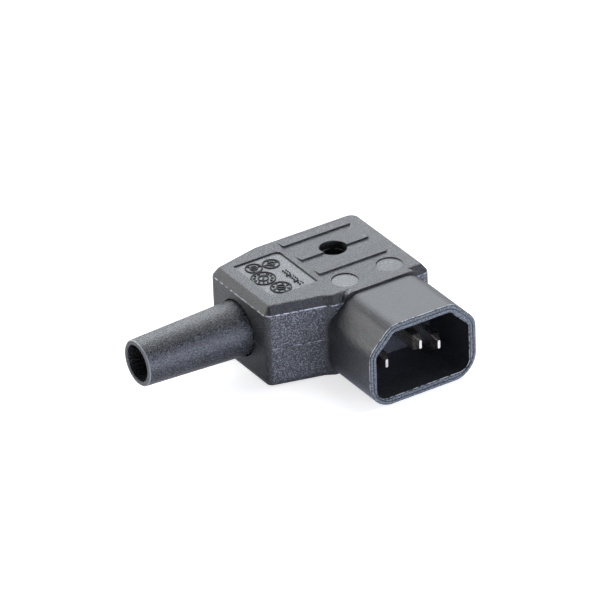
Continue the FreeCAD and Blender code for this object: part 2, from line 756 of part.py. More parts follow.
def make_pin(name, x, z, tip_set):
    """A brass blade with a lead-in tip and, behind the carrier's floor, its clamp terminal."""
    body = new_body(f"{name}_pin", x, "terminal_seat", z)
    blade_end = f"terminal_seat + shroud_length - {tip_set}"
    blade = new_sketch(body, "blade", "XZ_Plane")
    draw_blade(blade, "pin_thickness", "pin_height")
    pad(body, blade, f"{blade_end} - pin_lead")
    root = new_sketch(body, "lead_root", "XZ_Plane", f"{blade_end} - pin_lead")
    draw_blade(root, "pin_thickness", "pin_height")
    tip = new_sketch(body, "lead_tip", "XZ_Plane", blade_end)
    draw_blade(tip, "lead_thickness", "lead_height")
    lead = body.newObject("PartDesign::AdditiveLoft", f"{name}_lead_in")
    lead.Profile = root
    lead.Sections = [tip]
    lead.Ruled = True
    doc.recompute()
    block = new_sketch(body, "terminal", "XZ_Plane")
    draw_box(block, "-terminal_width / 2", "-terminal_below", "terminal_width / 2", "terminal_above")
    pad(body, block, "terminal_length", True)
    passage = new_sketch(body, "passage", "XZ_Plane", "-terminal_length")
    draw_box(
        passage, "-passage_width / 2", "-terminal_below + passage_floor",
        "passage_width / 2", "-terminal_below + passage_floor + passage_height",
    )
    pocket(body, passage, "terminal_length - terminal_front", True)
    hole = new_sketch(body, "screw_hole", "XY_Plane", "terminal_above")
    draw_circle(hole, "0", TERMINAL_SCREW_Y, "clamp_screw_radius + screw_gap")
    pocket(body, hole, "terminal_above + terminal_below - passage_floor - passage_height")
    return body


def make_screw(label, place, shaft_radius, shaft_length, head_radius, head_height, drive):
    """A screw turned about its own Z axis, with Z = 0 under the head and a slot or a cross on top."""
    body = new_body(label, *place)
    profile = new_sketch(body, "profile", "XZ_Plane")
    draw_outline(profile, [
        ("0", f"-{shaft_length}"),
        (shaft_radius, f"-{shaft_length}"),
        (shaft_radius, "0"),
        (head_radius, "0"),
        (head_radius, head_height),
        ("0", head_height),
    ])
    revolve(body, profile, "Z_Axis")
    width, reach, depth = drive
    slots = [(reach, f"{width} / 2")]
    if reach == "cross_length / 2":
        slots.append((f"{width} / 2", reach))
    for number, (half_x, half_y) in enumerate(slots):
        slot = new_sketch(body, f"drive_{number}", "XY_Plane", head_height)
        draw_box(slot, f"-{half_x}", f"-{half_y}", half_x, half_y)
        pocket(body, slot, depth)
    return body


def make_terminal_screw(name, x, z):
    place = (x, f"terminal_seat + {TERMINAL_SCREW_Y}", f"{z} + {SCREW_SEAT}")
    drive = ("driver_slot", "clamp_head_radius * 1.1", "driver_slot_depth")
    return make_screw(
        f"{name}_terminal_screw", place, "clamp_screw_radius", "clamp_screw_reach",
        "clamp_head_radius", "clamp_head_height", drive,
    )


def make_wire_plate(name, x, z):
    """The plate under the terminal screw that spreads its force over the wire."""
    tip = f"{z} + {SCREW_SEAT} - clamp_screw_reach"
    body = new_body(f"{name}_wire_plate", x, f"terminal_seat + {TERMINAL_SCREW_Y}", tip)
    plate = new_sketch(body, "plate", "XY_Plane")
    draw_box(
        plate, "-(passage_width / 2 - fit_gap)", "-plate_length / 2",
        "passage_width / 2 - fit_gap", "plate_length / 2",
    )
    pad(body, plate, "plate_thickness", True)
    return body


# --- Cable sleeve and cord clamp ----------------------------------------------------------------

def make_cable_sleeve():
    """A soft tapered tube about the cable line, with a flange trapped behind the side wall."""
    body = new_body("cable_sleeve", y="cable_y")
    profile = new_sketch(body, "profile", "XZ_Plane")
    draw_outline(profile, [
        ("-sleeve_end", "sleeve_bore_radius"),
        (SLEEVE_FLANGE_BACK, "sleeve_bore_radius"),
        (SLEEVE_FLANGE_BACK, SLEEVE_FLANGE_RADIUS),
        (SLEEVE_FLANGE_FRONT, SLEEVE_FLANGE_RADIUS),
        (SLEEVE_FLANGE_FRONT, "sleeve_base_radius"),
        ("-housing_left", "sleeve_base_radius"),
        ("-(sleeve_end - sleeve_edge)", "sleeve_end_radius"),
        ("-sleeve_end", "sleeve_end_radius - sleeve_edge"),
    ])
    revolve(body, profile, "X_Axis")
    return body


def make_cord_clamp():
    """The arched bar that presses the cord onto the saddle, with a screw through each foot."""
    body = new_body("cord_clamp", "-clamp_x", "cable_y", "-clamp_post_set")
    foot_half = "(clamp_post_offset + clamp_post_radius)"
    bar = new_sketch(body, "bar", "YZ_Plane", "-clamp_width / 2")
    draw_box(bar, f"-{foot_half}", "0", foot_half, "clamp_foot")
    pad(body, bar, "clamp_width")
    arch = new_sketch(body, "arch", "YZ_Plane", "-clamp_width / 2")
    draw_circle(arch, "0", "clamp_post_set", "cord_radius + clamp_arch")
    pad(body, arch, "clamp_width")
    below = new_sketch(body, "below", "XY_Plane", "-(cord_radius + clamp_arch)")
    draw_box(
        below, "-clamp_width", "-(cord_radius + clamp_arch * 2)",
        "clamp_width", "cord_radius + clamp_arch * 2",
    )
    pocket(body, below, "cord_radius + clamp_arch", True)
    throat = new_sketch(body, "throat", "YZ_Plane", "-clamp_width / 2")
    draw_circle(throat, "0", "clamp_post_set", "cord_radius")
    pocket(body, throat, "clamp_width", True)
    holes = new_sketch(body, "holes", "XY_Plane", "clamp_foot")
    for side in ("-", ""):
        draw_circle(holes, "0", f"{side}clamp_post_offset", "cord_screw_radius + clear_hole_gap")
    pocket(body, holes, "clamp_foot")
    return body


def make_cord_screw(number, side):
    place = ("-clamp_x", f"cable_y {side} clamp_post_offset", "clamp_foot - clamp_post_set")
    drive = ("driver_slot", "cord_head_radius * 1.1", "driver_slot_depth")
    return make_screw(
        f"cord_clamp_screw_{number}", place, "cord_screw_radius", "cord_screw_length",
        "cord_head_radius", "cord_head_height", drive,
    )


# --- Housing screw and nut ----------------------------------------------------------------------

def make_housing_screw():
    """The screw from the well's floor, as long as it takes to end flush with the nut."""
    place = ("-screw_left", "screw_y", WELL_SEAT)
    length = f"({WELL_SEAT} + {NUT_SEAT} + nut_thickness)"
    drive = ("cross_width", "cross_length / 2", "cross_depth")
    return make_screw(
        "housing_screw", place, "housing_screw_radius", length,
        "housing_head_radius", "housing_head_height", drive,
    )


def make_housing_nut():
    body = new_body("housing_nut", "-screw_left", "screw_y", f"-{NUT_SEAT}")
    nut = new_sketch(body, "nut", "XY_Plane")
    draw_hexagon(nut, "0", "0", "nut_width")
    pad(body, nut, "nut_thickness", True)
    hole = new_sketch(body, "hole", "XY_Plane")
    draw_circle(hole, "0", "0", "housing_screw_radius + screw_gap")
    pocket(body, hole, "nut_thickness")
    return body


# --- The plug -----------------------------------------------------------------------------------

def make_pieces():
    pieces = [make_upper_shell(), make_lower_shell(), make_pin_carrier(), make_retainer()]
    for name, (x, z, tip_set) in PIN_PLACES.items():
        pieces.append(make_pin(name, x, z, tip_set))
        pieces.append(make_terminal_screw(name, x, z))
        pieces.append(make_wire_plate(name, x, z))
    pieces.append(make_cable_sleeve())
    pieces.append(make_cord_clamp())
    for number, side in ((1, "-"), (2, "+")):
        pieces.append(make_cord_screw(number, side))
    pieces.append(make_housing_screw())
    pieces.append(make_housing_nut())
    return pieces


def check_and_write(pieces):
    """Refuses a failed feature, an under-constrained sketch or a bad shape, then writes the files."""
    doc.recompute()
    for item in doc.Objects:
        if "Invalid" in item.State or "Error" in item.State:
            raise RuntimeError(f"{item.Name} failed: {item.State}")
        if item.TypeId == "Sketcher::SketchObject" and not item.FullyConstrained:
            raise RuntimeError(f"{item.Name} is not fully constrained")
    os.makedirs("parts", exist_ok=True)
    for piece in pieces:
        shape = piece.Shape
        if shape.isNull() or not shape.isValid() or len(shape.Solids) != 1:
            raise RuntimeError(f"{piece.Label} is not one valid solid")
    for piece in pieces:
        piece.Shape.exportStep(os.path.join("parts", f"{piece.Label}.step"))
        print(f"{piece.Label}: {piece.Shape.Volume:.1f} mm3")


check_and_write(make_pieces())
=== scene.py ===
# %% [markdown]
# # A right-angle inlet plug, finished in Blender
#
# The plug is a rewireable one: two dark polyamide shells held by one screw, a shroud with three
# nickel-plated blades, and a soft tapered sleeve for the cable. A CAD model already holds every
# piece at its real size. This lesson adds what CAD leaves out: the camera, the light, the finish of
# each surface and the small moulded marks.
#
# The first step loads the imported CAD model. Its pieces are fixed: they get materials here, and they are
# never moved. The box round all of them is kept, and the floor and the lamps are placed from it.

# %% Load the fixed frame
import math

import bmesh
import bpy
from mathutils import Matrix, Quaternion, Vector


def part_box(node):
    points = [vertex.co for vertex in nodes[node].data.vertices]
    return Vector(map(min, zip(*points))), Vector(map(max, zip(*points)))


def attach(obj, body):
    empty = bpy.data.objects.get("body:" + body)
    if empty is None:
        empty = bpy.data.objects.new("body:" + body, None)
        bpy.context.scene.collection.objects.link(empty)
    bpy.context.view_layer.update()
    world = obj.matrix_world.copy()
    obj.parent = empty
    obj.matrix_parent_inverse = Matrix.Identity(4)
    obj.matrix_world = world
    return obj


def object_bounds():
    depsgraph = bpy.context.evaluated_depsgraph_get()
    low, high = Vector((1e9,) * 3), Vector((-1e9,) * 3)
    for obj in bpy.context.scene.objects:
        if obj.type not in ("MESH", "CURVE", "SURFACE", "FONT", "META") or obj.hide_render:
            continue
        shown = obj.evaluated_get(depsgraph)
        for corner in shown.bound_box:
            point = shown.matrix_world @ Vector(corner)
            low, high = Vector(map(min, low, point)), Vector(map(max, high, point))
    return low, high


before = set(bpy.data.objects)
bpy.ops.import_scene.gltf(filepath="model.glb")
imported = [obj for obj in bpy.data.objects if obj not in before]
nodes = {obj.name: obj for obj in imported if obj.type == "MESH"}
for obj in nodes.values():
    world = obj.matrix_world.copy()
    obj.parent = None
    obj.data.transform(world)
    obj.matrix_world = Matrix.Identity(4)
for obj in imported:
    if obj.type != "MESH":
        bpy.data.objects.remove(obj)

MM = 0.001
cad_low, cad_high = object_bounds()
print("pieces:", ", ".join(sorted(nodes)))
print("size in mm:", [round(side / MM, 1) for side in cad_high - cad_low])

# %% [markdown]
# ## The camera
#
# A product picture of something this small is taken from well back with a long lens, so that its
# parallel edges stay nearly parallel. A camera can be placed by typing its location and rotation,
# but then every change of angle moves the object out of the picture. Here it is placed the way a
# photographer would say it: where it looks, how far round and how high it stands, how far away it
# is, and how much it is tilted.

# %% Place the camera
AIM = Vector((-14.18, 28.51, 5.07)) * MM
AZIMUTH = math.radians(-31.785)
ELEVATION = math.radians(30.625)
ROLL = math.radians(-2.083)
DISTANCE = 1461.8 * MM
LENS = 390.4

back = Vector((
    math.sin(AZIMUTH) * math.cos(ELEVATION),
    -math.cos(AZIMUTH) * math.cos(ELEVATION),
    math.sin(ELEVATION),
))
camera = bpy.data.objects.new("camera", bpy.data.cameras.new("camera"))
bpy.context.scene.collection.objects.link(camera)
bpy.context.scene.camera = camera
camera.data.lens = LENS
camera.data.sensor_width = 36
camera.data.clip_start = DISTANCE / 10
camera.data.clip_end = DISTANCE * 10
camera.location = AIM + back * DISTANCE
camera.rotation_mode = "QUATERNION"
camera.rotation_quaternion = (-back).to_track_quat("-Z", "Y") @ Quaternion((0, 0, 1), ROLL)
print("camera at", [round(place, 3) for place in camera.location], "m")

# %% [markdown]
# ## Three helpers for materials
#
# Colours are easiest to read and to compare as the hex values that a picture program shows, and
# those are sRGB. A shader works in linear light, so one function turns them round. Another adds a
# shader node, sets it and links it in one call, which keeps each material short enough to read. The
# third starts an empty material, so that nothing is left over from Blender's own default one.

# %% Helpers for colour and nodes
def linear(hex_text):
    """A colour such as "#2c2d30" as the linear values, with an alpha of 1, that a shader takes."""
    channels = [int(hex_text[place:place + 2], 16) / 255 for place in (1, 3, 5)]
    curve = [c / 12.92 if c <= 0.04045 else ((c + 0.055) / 1.055) ** 2.4 for c in channels]
    return (*curve, 1.0)


def add_node(tree, kind, values=None, **settings):
    """A new node with its settings and its inputs. An input given as a socket is linked."""
    node = tree.nodes.new(kind)
    for name, value in settings.items():
        setattr(node, name, value)
    for name, value in (values or {}).items():
        if isinstance(value, bpy.types.NodeSocket):
            tree.links.new(value, node.inputs[name])
        else:
            node.inputs[name].default_value = value
    return node


def new_material(name):
    """An empty node material: itself, its tree and its output node."""
    material = bpy.data.materials.new(name)
    material.use_nodes = True
    material.node_tree.nodes.clear()
    return material, material.node_tree, material.node_tree.nodes.new("ShaderNodeOutputMaterial")


print("mid grey #808080 is", round(linear("#808080")[0], 3), "in linear light")

# %% [markdown]
# ## The floor and the background
#
# The plug lies on a white table in front of a white wall. A curved sheet of paper does both jobs in
# a studio, but a flat floor is enough here, because the camera looks down and sees only the floor.

# %% Lay the floor
FLOOR_SIZE = 6.0

floor_mesh = bpy.data.meshes.new("floor")
shape = bmesh.new()
bmesh.ops.create_grid(shape, x_segments=1, y_segments=1, size=FLOOR_SIZE / 2)
bmesh.ops.translate(shape, verts=shape.verts, vec=(0, 0, cad_low.z))
shape.to_mesh(floor_mesh)
shape.free()
floor = bpy.data.objects.new("floor", floor_mesh)
bpy.context.scene.collection.objects.link(floor)
print("floor at z =", round(cad_low.z / MM, 2), "mm")

# %% [markdown]
# The floor is a plain white that takes the soft shadow under the plug. For the camera it is lifted a
# little, so that it reads as white paper. For mirrors it is lifted too, and that lift is a painted pool of
# light: in front of the plug the floor glows bright and slightly cool, as such a table is when daylight
# from a window falls on it, and behind the plug the lift fades away.

# %% The floor's paper
CAMERA_LIFT = 0.68
MIRROR_LIFT = 1.0
FAR_LIFT = 0.125
LIT_FROM = 0 * MM
DIM_FROM = 25 * MM

paper, tree, output = new_material("white_matte_paper")
path = add_node(tree, "ShaderNodeLightPath")
looked_at = add_node(tree, "ShaderNodeMath", {
    0: path.outputs["Is Camera Ray"], 1: path.outputs["Is Transmission Ray"],
}, operation="ADD", use_clamp=True)
plain_lift = add_node(tree, "ShaderNodeMath", {
    0: looked_at.outputs[0], 1: CAMERA_LIFT,
}, operation="MULTIPLY")
spot = add_node(tree, "ShaderNodeSeparateXYZ", {
    "Vector": add_node(tree, "ShaderNodeTexCoord").outputs["Object"],
})
# The glow for mirrors is a painted pool of window light on the floor, fading behind the plug.
painted_daylight_pool = add_node(tree, "ShaderNodeMapRange", {
    "Value": spot.outputs["Y"], "From Min": LIT_FROM, "From Max": DIM_FROM,
    "To Min": MIRROR_LIFT, "To Max": FAR_LIFT,
}, interpolation_type="SMOOTHSTEP")
mirror_lift = add_node(tree, "ShaderNodeMath", {
    0: path.outputs["Is Glossy Ray"], 1: painted_daylight_pool.outputs["Result"],
}, operation="MULTIPLY")
sheet = add_node(tree, "ShaderNodeBsdfDiffuse", {"Color": linear("#dfdfdf")})
plain = add_node(tree, "ShaderNodeEmission", {
    "Color": linear("#ffffff"), "Strength": plain_lift.outputs[0],
})
cool = add_node(tree, "ShaderNodeEmission", {
    "Color": linear("#e2e7ff"), "Strength": mirror_lift.outputs[0],
})
lifts = add_node(tree, "ShaderNodeAddShader", {0: plain.outputs[0], 1: cool.outputs[0]})
lifted = add_node(tree, "ShaderNodeAddShader", {0: sheet.outputs[0], 1: lifts.outputs[0]})
tree.links.new(lifted.outputs[0], output.inputs["Surface"])
floor_mesh.materials.append(paper)
print("mirrors see the floor brighter up to y =", round(DIM_FROM / MM), "mm")

# %% [markdown]
# ## The light
#
# Dark plastic shows its form by what it mirrors, far more than by its own colour. So the lamps are
# large soft panels, each placed where one kind of face mirrors it: one high behind the plug for the
# flat top, and one behind on the left for the cut-off corners and the sloping side of the shroud.
# A weak one high on the right lifts the round top of the sleeve. A low cool one in front, like a
# window, lights the upright faces and draws thin bright lines along their edges. Nothing stands
# high in front, so the chamfers there stay dark and mark the outline.

# %% Set up the lamps
TARGET = (cad_low + cad_high) / 2


def add_panel(name, azimuth, elevation, distance, size, power, colour="#ffffff"):
    """A soft panel that faces the plug from a given side. Azimuth 0 is in front, 90 on the right."""
    across = math.radians(azimuth)
    up = math.radians(elevation)
    way = Vector((math.sin(across) * math.cos(up), -math.cos(across) * math.cos(up), math.sin(up)))
    lamp = bpy.data.lights.new(name, "AREA")
    lamp.shape = "RECTANGLE"
    lamp.size, lamp.size_y = size
    lamp.energy = power
    lamp.color = linear(colour)[:3]
    holder = bpy.data.objects.new(name, lamp)
    bpy.context.scene.collection.objects.link(holder)
    holder.location = TARGET + way * distance
    holder.rotation_mode = "QUATERNION"
    holder.rotation_quaternion = (-way).to_track_quat("-Z", "Y")
    print(name, "stands", distance, "m away at", azimuth, "and", elevation, "degrees")


add_panel(
    "back_panel", azimuth=148, elevation=34, distance=1.6,
    size=(1.5, 1.1), power=31, colour="#f4f9ff",
)
add_panel("left_panel", azimuth=-142, elevation=18, distance=1.6, size=(1.0, 0.8), power=20.5)
add_panel("roof_panel", azimuth=80, elevation=66, distance=1.6, size=(0.8, 0.8), power=7)
add_panel(
    "window_panel", azimuth=12, elevation=8, distance=1.8,
    size=(1.6, 0.45), power=35, colour="#dfe5ff",
)

# %% [markdown]
# The panels alone would leave the recess and the undersides of edges black. The walls of a real room
# throw a little light into such places, and a weak white world does the same. The view transform is
# Standard, so that a colour comes out about as it is written.

# %% Set up the world
WORLD_LIGHT = 0.2

world = bpy.data.worlds.new("studio")
world.use_nodes = True
world.node_tree.nodes.clear()
air = add_node(world.node_tree, "ShaderNodeBackground", {
    "Color": linear("#ffffff"), "Strength": WORLD_LIGHT,
})
world_out = world.node_tree.nodes.new("ShaderNodeOutputWorld")
world.node_tree.links.new(air.outputs[0], world_out.inputs["Surface"])
bpy.context.scene.world = world
bpy.context.scene.view_settings.view_transform = "Standard"
print("world at", WORLD_LIGHT)

# %% [markdown]
# ## Moulded plastics
#
# The shells, the carrier and the sleeve are moulded in steel tools whose walls were made rough on purpose,
# by spark erosion or by blasting. That leaves a fine even grain of tiny craters in the plastic. The eye
# reads it as a matt charcoal with a cool cast, salted with pale specks where the crests between the craters
# catch the light. The specks are painted glints: the crests get a pale colour.
#
# A noise in the colour alone would look like paint, and a bump alone looks like velvet. Here one noise does
# three jobs: it is the height of the grain, it paints the crests pale as glints, and it makes them duller
# than the pits. A slow noise thins the specks out in places. Real craters are about a tenth of a millimetre
# wide. That is too fine to show from here, so they are drawn about three times as coarse. The pieces differ
# in colour, grain and gloss, so one function makes the common part and returns what a piece may still
# change.

# %% The common part of the moulded plastics
BLOTCH = 5.0 * MM


def grained_plastic(name, pit, crest, grain, depth, roughness):
    """A grained plastic. Returns the material, its tree, shader, place and skin colour."""
    material, tree, output = new_material(name)
    place = add_node(tree, "ShaderNodeTexCoord").outputs["Object"]
    craters = add_node(tree, "ShaderNodeTexNoise", {
        "Vector": place, "Scale": 1 / grain, "Detail": 3.0, "Roughness": 0.7,
    })
    crests = add_node(tree, "ShaderNodeMapRange", {
        "Value": craters.outputs["Fac"], "From Min": 0.46, "From Max": 0.66,
    }, interpolation_type="SMOOTHSTEP")
    blotch = add_node(tree, "ShaderNodeTexNoise", {"Vector": place, "Scale": 1 / BLOTCH, "Detail": 3.0})
    thinning = add_node(tree, "ShaderNodeMapRange", {
        "Value": blotch.outputs["Fac"], "From Min": 0.35, "From Max": 0.65,
        "To Min": 0.75, "To Max": 1.0,
    })
    specks = add_node(tree, "ShaderNodeMath", {
        0: crests.outputs["Result"], 1: thinning.outputs["Result"],
    }, operation="MULTIPLY")
    # The pale crest colour is a painted glint on each crest.
    skin = add_node(tree, "ShaderNodeMix", {
        "Factor": specks.outputs[0], "A": linear(pit), "B": linear(crest),
    }, data_type="RGBA")
    bump = add_node(tree, "ShaderNodeBump", {"Height": craters.outputs["Fac"], "Distance": depth})
    gloss = add_node(tree, "ShaderNodeMapRange", {
        "Value": craters.outputs["Fac"], "From Min": 0.3, "From Max": 0.7,
        "To Min": roughness[0], "To Max": roughness[1],
    })
    shader = add_node(tree, "ShaderNodeBsdfPrincipled", {
        "Base Color": skin.outputs["Result"], "Roughness": gloss.outputs["Result"],
        "IOR": 1.53, "Normal": bump.outputs["Normal"],
    })
    tree.links.new(shader.outputs[0], output.inputs["Surface"])
    print(name, "has a grain of", round(grain / MM, 2), "mm")
    return material, tree, shader, place, skin


# %% [markdown]
# The thin bright lines along the plug's edges are painted highlights, and they are never even. So a painted
# line is a thin pale band where a face lies at a given height or depth, and a noise leaves gaps in it.
# Sculpting such lines would take far more triangles than a line a fifth of a millimetre wide is worth.

# %% Painted highlight lines
EDGE_HIGHLIGHT = linear("#bcc0c6")


def add_painted_highlight(tree, place, line, colour, patch, detail, gaps):
    """The colour with a pale line of painted highlight over it. A noise with patches of a given size breaks
    it up.
    """
    breakup = add_node(tree, "ShaderNodeTexNoise", {
        "Vector": place, "Scale": 1 / patch, "Detail": detail,
    })
    broken = add_node(tree, "ShaderNodeMapRange", {
        "Value": breakup.outputs["Fac"], "From Min": gaps[0], "From Max": gaps[1],
    })
    glints = add_node(tree, "ShaderNodeMath", {0: line, 1: broken.outputs["Result"]}, operation="MULTIPLY")
    highlighted = add_node(tree, "ShaderNodeMix", {
        "Factor": glints.outputs[0], "A": colour, "B": EDGE_HIGHLIGHT,
    }, data_type="RGBA")
    return highlighted.outputs["Result"]


print("worn edges are", [round(channel, 2) for channel in EDGE_HIGHLIGHT[:3]], "in linear light")

# %% [markdown]
# ### The housing: spark-eroded polyamide
#
# The shells have the deepest grain of all. Two kinds of place are smoother, because there the tool
# holds polished inserts: the sunk field for the marks and the two round thumb dimples. They are cut
# a little below the top, and they mirror the light behind more clearly, so they look brighter. The
# material finds them by where they lie: flat, facing up, and just under the top of the shell. The
# insert of the right dimple is polished less finely, so the gloss falls off with X.

# %% The housing's material
RIB_HEIGHT = 0.38 * MM
INSERT_DROP = 0.275 * MM
INSERT_REACH = 0.175 * MM
INSERT_GLOSS = (0.36, 0.42)
INSERT_BUMP = 0.4
DULL_FROM = 4 * MM
LEVEL = 0.95

housing, tree, shader, place, skin = grained_plastic(
    "spark_eroded_polyamide", pit="#131416", crest="#9c9fa7",
    grain=0.34 * MM, depth=0.18 * MM, roughness=(0.26, 0.42),
)
shell_low, shell_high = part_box("upper_shell")
top_face = shell_high.z - RIB_HEIGHT
spot = add_node(tree, "ShaderNodeSeparateXYZ", {"Vector": place})
height = spot.outputs["Z"]
outward = add_node(tree, "ShaderNodeSeparateXYZ", {
    "Vector": add_node(tree, "ShaderNodeNewGeometry").outputs["True Normal"],
})
flat = add_node(tree, "ShaderNodeMath", {0: outward.outputs["Z"], 1: LEVEL}, operation="GREATER_THAN")
sunk = add_node(tree, "ShaderNodeMath", {
    0: height, 1: top_face - INSERT_DROP, 2: INSERT_REACH,
}, operation="COMPARE")
polished = add_node(tree, "ShaderNodeMath", {0: sunk.outputs[0], 1: flat.outputs[0]}, operation="MULTIPLY")
strength = add_node(tree, "ShaderNodeMapRange", {
    "Value": polished.outputs[0], "To Min": 1.0, "To Max": INSERT_BUMP,
})
bump = shader.inputs["Normal"].links[0].from_node
tree.links.new(strength.outputs["Result"], bump.inputs["Strength"])
polish = add_node(tree, "ShaderNodeMapRange", {
    "Value": spot.outputs["X"], "From Min": 0.0, "From Max": DULL_FROM,
    "To Min": INSERT_GLOSS[0], "To Max": INSERT_GLOSS[1],
})
gloss = add_node(tree, "ShaderNodeMix", {
    "Factor": polished.outputs[0], "A": shader.inputs["Roughness"].links[0].from_socket,
    "B": polish.outputs["Result"],
})
tree.links.new(gloss.outputs["Result"], shader.inputs["Roughness"])
print("inserts lie about", round(INSERT_DROP / MM, 2), "mm under", round(top_face / MM, 2), "mm")

# %% [markdown]
# The way a face points decides how many painted glints it keeps, and so how bright that side looks. The
# front keeps them all. The flat top and the back keep about half, the ends with their upright corners a
# quarter, and the chamfers and the underside even less.

# %% The painted glints that each side keeps
TOP_SHARE = 0.48
BACK_SHARE = 0.45
END_SHARE = 0.25
CHAMFER_SHARE = 0.13
UPRIGHT = 0.25

steep = add_node(tree, "ShaderNodeMath", {0: outward.outputs["Z"]}, operation="ABSOLUTE")
tilted = add_node(tree, "ShaderNodeMapRange", {
    "Value": steep.outputs[0], "From Min": UPRIGHT, "From Max": 0.5,
    "To Min": 1.0, "To Max": CHAMFER_SHARE,
})
by_tilt = add_node(tree, "ShaderNodeMath", {
    0: flat.outputs[0], 1: TOP_SHARE - CHAMFER_SHARE, 2: tilted.outputs["Result"],
}, operation="MULTIPLY_ADD")
endways = add_node(tree, "ShaderNodeMath", {0: outward.outputs["X"]}, operation="ABSOLUTE")
by_end = add_node(tree, "ShaderNodeMapRange", {
    "Value": endways.outputs[0], "From Min": 0.15, "From Max": 0.5,
    "To Min": 1.0, "To Max": END_SHARE,
}).outputs["Result"]
by_back = add_node(tree, "ShaderNodeMapRange", {
    "Value": outward.outputs["Y"], "From Min": 0.1, "From Max": 0.5,
    "To Min": 1.0, "To Max": BACK_SHARE,
}).outputs["Result"]
# Fewer painted glints on the ends and the back make those sides look darker.
glints_by_side = add_node(tree, "ShaderNodeMath", {0: by_end, 1: by_back}, operation="MINIMUM")
kept = add_node(tree, "ShaderNodeMath", {0: by_tilt.outputs[0], 1: glints_by_side.outputs[0]}, operation="MINIMUM")
print("shares of the specks: top", TOP_SHARE, "back", BACK_SHARE, "ends", END_SHARE)

# %% [markdown]
# Two places have no specks at all. One is the screw's well, with the nut's pocket below it, because smooth
# pins in the tool form them. The other is the low upright steps above the shoulder. Those get no painted
# glints and stay dark as painted shade, so they draw the ribs and the sunk field as thin shadow lines.

# %% Places without specks
WELL_REACH = 3.3 * MM
SHOULDER_DROP = 2.0 * MM
STEP_FOOT = 0.15 * MM

screw_low, screw_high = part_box("housing_screw")
screw_axis = (screw_low + screw_high) / 2
level_place = add_node(tree, "ShaderNodeVectorMath", {0: place, 1: (1, 1, 0)}, operation="MULTIPLY")
from_screw = add_node(tree, "ShaderNodeVectorMath", {
    0: level_place.outputs["Vector"], 1: (screw_axis.x, screw_axis.y, 0),
}, operation="DISTANCE")
outside_well = add_node(tree, "ShaderNodeMath", {
    0: from_screw.outputs["Value"], 1: WELL_REACH,
}, operation="GREATER_THAN")

# The upright steps get no painted glints, so they stay dark as painted shade.
upright = add_node(tree, "ShaderNodeMath", {0: steep.outputs[0], 1: UPRIGHT}, operation="LESS_THAN")
raised = add_node(tree, "ShaderNodeMath", {
    0: height, 1: top_face - SHOULDER_DROP + STEP_FOOT,
}, operation="GREATER_THAN")
step = add_node(tree, "ShaderNodeMath", {0: upright.outputs[0], 1: raised.outputs[0]}, operation="MULTIPLY")
off_step = add_node(tree, "ShaderNodeMath", {0: 1.0, 1: step.outputs[0]}, operation="SUBTRACT")

specks = skin.inputs["Factor"].links[0].from_socket
for share in (kept, outside_well, off_step):
    thinner = add_node(tree, "ShaderNodeMath", {0: specks, 1: share.outputs[0]}, operation="MULTIPLY")
    specks = thinner.outputs[0]
tree.links.new(specks, skin.inputs["Factor"])
print("no specks within", round(WELL_REACH / MM, 1), "mm of the screw's axis")

# %% [markdown]
# The shells carry two painted highlight lines: the shoulder where the walls meet the chamfer, and the seam
# between the shells. Both run level all the way round, so they are found by their height. They are fainter
# on the back, and the seam's line fades on the ends too, as the painted glints do.

# %% Painted highlights on the housing's edges
SHOULDER_REACH = 0.12 * MM
SEAM_DROP = 0.14 * MM
SEAM_REACH = 0.11 * MM

shoulder = add_node(tree, "ShaderNodeMath", {
    0: height, 1: top_face - SHOULDER_DROP, 2: SHOULDER_REACH,
}, operation="COMPARE")
seam = add_node(tree, "ShaderNodeMath", {0: height, 1: -SEAM_DROP, 2: SEAM_REACH}, operation="COMPARE")
long_seam = add_node(tree, "ShaderNodeMath", {0: seam.outputs[0], 1: by_end}, operation="MULTIPLY")
lines = add_node(tree, "ShaderNodeMath", {
    0: shoulder.outputs[0], 1: long_seam.outputs[0],
}, operation="MAXIMUM")
front_lines = add_node(tree, "ShaderNodeMath", {0: lines.outputs[0], 1: by_back}, operation="MULTIPLY")
# The shoulder and seam lines are painted highlights.
highlighted = add_painted_highlight(
    tree, place, front_lines.outputs[0], skin.outputs["Result"],
    patch=1.1 * MM, detail=4.0, gaps=(0.4, 0.58),
)
tree.links.new(highlighted, shader.inputs["Base Color"])
print("scuffed at", round((top_face - SHOULDER_DROP) / MM, 2), "mm and at the seam")

# %% [markdown]
# ### The pin carrier: satin polyamide
#
# The shroud slides into a socket, so its tool is only lightly eroded: the grain is shallow, and the faces
# look satin. Its front rim is the exception. It mirrors the bright table in front, and that is painted into
# it as a pale, bluish, salted band of painted sheen, with painted shade in its fine groove and a painted
# highlight along both of its edges. All three lie at their own distance from the mating plane, so the Y
# coordinate finds them.

# %% The carrier's material
RIM_BAND = 0.2 * MM
SALT_SIZE = 0.42 * MM
GROOVE_DEPTH = 0.12 * MM
GROOVE_REACH = 0.06 * MM
EDGE_DEPTH = 0.25 * MM
EDGE_REACH = 0.09 * MM

carrier, tree, shader, place, skin = grained_plastic(
    "satin_polyamide", pit="#1d1e21", crest="#45484e",
    grain=0.32 * MM, depth=0.07 * MM, roughness=(0.4, 0.52),
)
depth = add_node(tree, "ShaderNodeSeparateXYZ", {"Vector": place}).outputs["Y"]
rim = add_node(tree, "ShaderNodeMath", {0: depth, 1: RIM_BAND}, operation="LESS_THAN")
salt = add_node(tree, "ShaderNodeTexNoise", {"Vector": place, "Scale": 1 / SALT_SIZE, "Detail": 2.0})
salting = add_node(tree, "ShaderNodeMapRange", {
    "Value": salt.outputs["Fac"], "From Min": 0.4, "From Max": 0.65,
})
